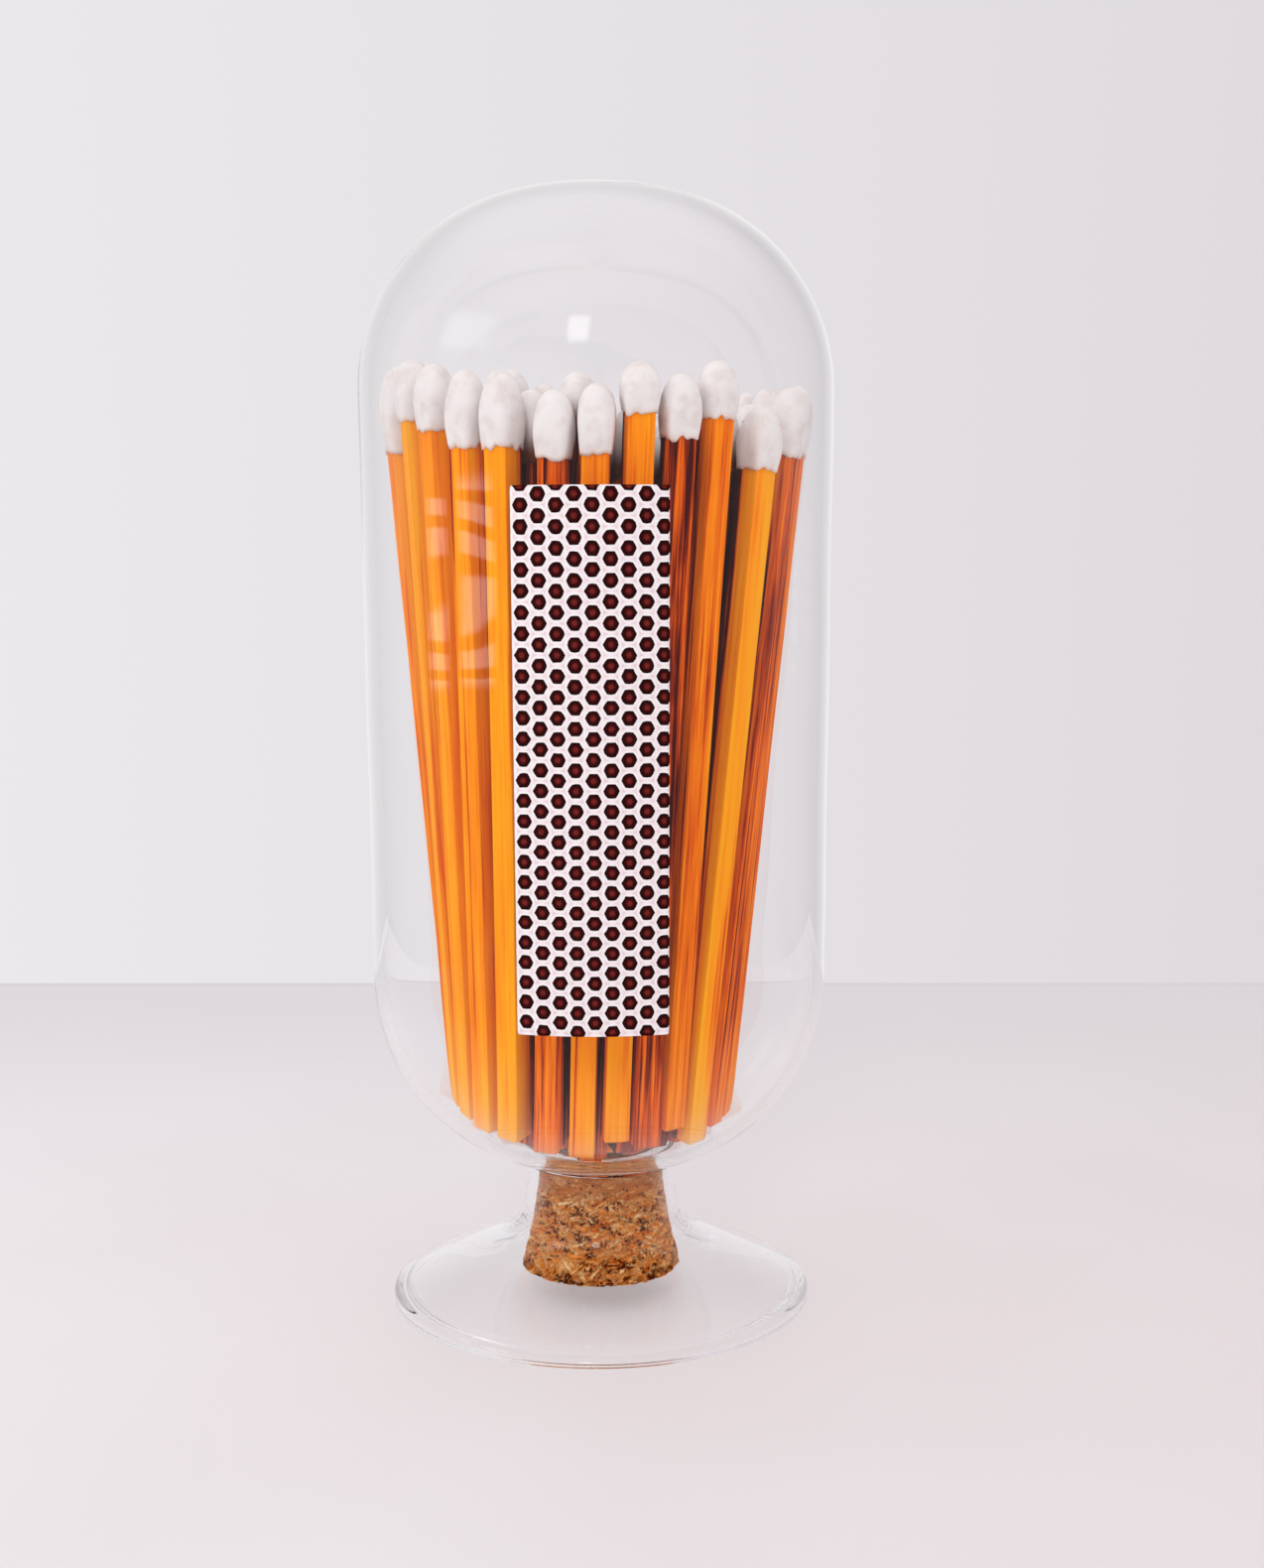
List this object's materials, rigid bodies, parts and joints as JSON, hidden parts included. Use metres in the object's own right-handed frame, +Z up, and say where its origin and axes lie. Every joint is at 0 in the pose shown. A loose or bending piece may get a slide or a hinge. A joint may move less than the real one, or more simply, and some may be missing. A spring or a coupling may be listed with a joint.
{
  "type": "cloche jar of matches",
  "caption": "Footed clear glass cloche jar filled with long safety matches, closed from below by a tapered cork and carrying a honeycomb striking label.",
  "frame": {"origin": "centre of the foot rim, on the surface the jar stands on", "axes": "+Z up along the jar's axis, -Y towards the striking label, +X to the right of someone facing the label"},
  "size_m": [0.066, 0.0664, 0.159],
  "materials": {
    "clear_glass": "clear, fire-polished",
    "cork": "agglomerated cork, dry and open-grained",
    "label_paper": "matt white paper",
    "striking_compound": "rough dark red-brown striking compound on paper",
    "match_wood": "bare split aspen, warm orange",
    "match_compound": "matt off-white dipped compound"
  },
  "bodies": {
    "root": {"cork_stopper": "cork", "glass_cloche": "clear_glass", "outer_stick_01": "match_wood", "outer_stick_02": "match_wood", "outer_stick_03": "match_wood", "outer_stick_04": "match_wood", "outer_stick_05": "match_wood", "outer_stick_06": "match_wood", "outer_stick_07": "match_wood", "outer_stick_08": "match_wood", "outer_stick_09": "match_wood", "outer_stick_10": "match_wood", "outer_stick_11": "match_wood", "outer_stick_12": "match_wood", "outer_stick_13": "match_wood", "outer_stick_14": "match_wood", "outer_stick_15": "match_wood", "outer_stick_16": "match_wood", "outer_stick_17": "match_wood", "outer_stick_18": "match_wood", "outer_stick_19": "match_wood", "outer_stick_20": "match_wood", "outer_stick_21": "match_wood", "outer_stick_22": "match_wood", "outer_stick_23": "match_wood", "outer_stick_24": "match_wood", "outer_stick_25": "match_wood", "outer_stick_26": "match_wood", "outer_stick_27": "match_wood", "ring_1_heads": "match_compound", "ring_2_heads": "match_compound", "ring_2_sticks": "match_wood", "ring_3_heads": "match_compound", "ring_3_sticks": "match_wood", "ring_4_heads": "match_compound", "ring_4_sticks": "match_wood", "ring_5_heads": "match_compound", "ring_5_sticks": "match_wood", "striker_label": "label_paper", "striker_pads": "striking_compound"}
  },
  "joints": []
}
